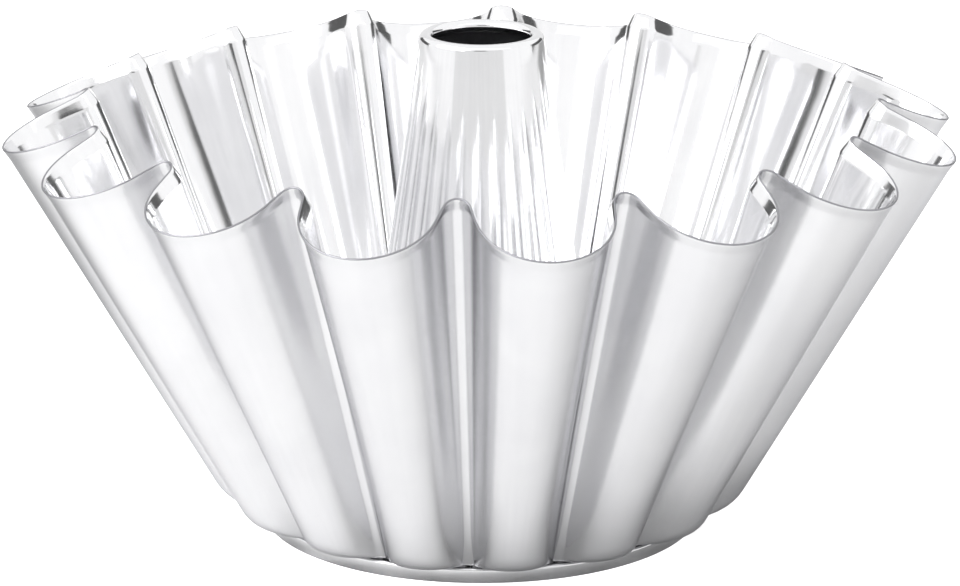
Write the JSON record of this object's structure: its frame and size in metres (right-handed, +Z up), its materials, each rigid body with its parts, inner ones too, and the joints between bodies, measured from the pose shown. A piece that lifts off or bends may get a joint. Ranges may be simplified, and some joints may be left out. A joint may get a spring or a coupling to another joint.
{
  "type": "fluted tube pan",
  "caption": "Round baking mould with deep flutes that narrow towards the foot, a ring-shaped floor and an open conical tube in the middle.",
  "frame": {"origin": "middle of the plane that the pan stands on", "axes": "+Z up along the tube's axis, towards the mouth; a flute faces each of +X, -X, +Y and -Y"},
  "size_m": [0.22, 0.22, 0.1155],
  "materials": {
    "shell_tinplate": "tinned sheet steel, satin outside and bright inside",
    "base_tinplate": "tinned sheet steel, satin",
    "tube_tinplate": "tinned sheet steel, bright"
  },
  "bodies": {
    "root": {"fluted_shell": "shell_tinplate", "base_disc": "base_tinplate", "centre_tube": "tube_tinplate"}
  },
  "joints": []
}
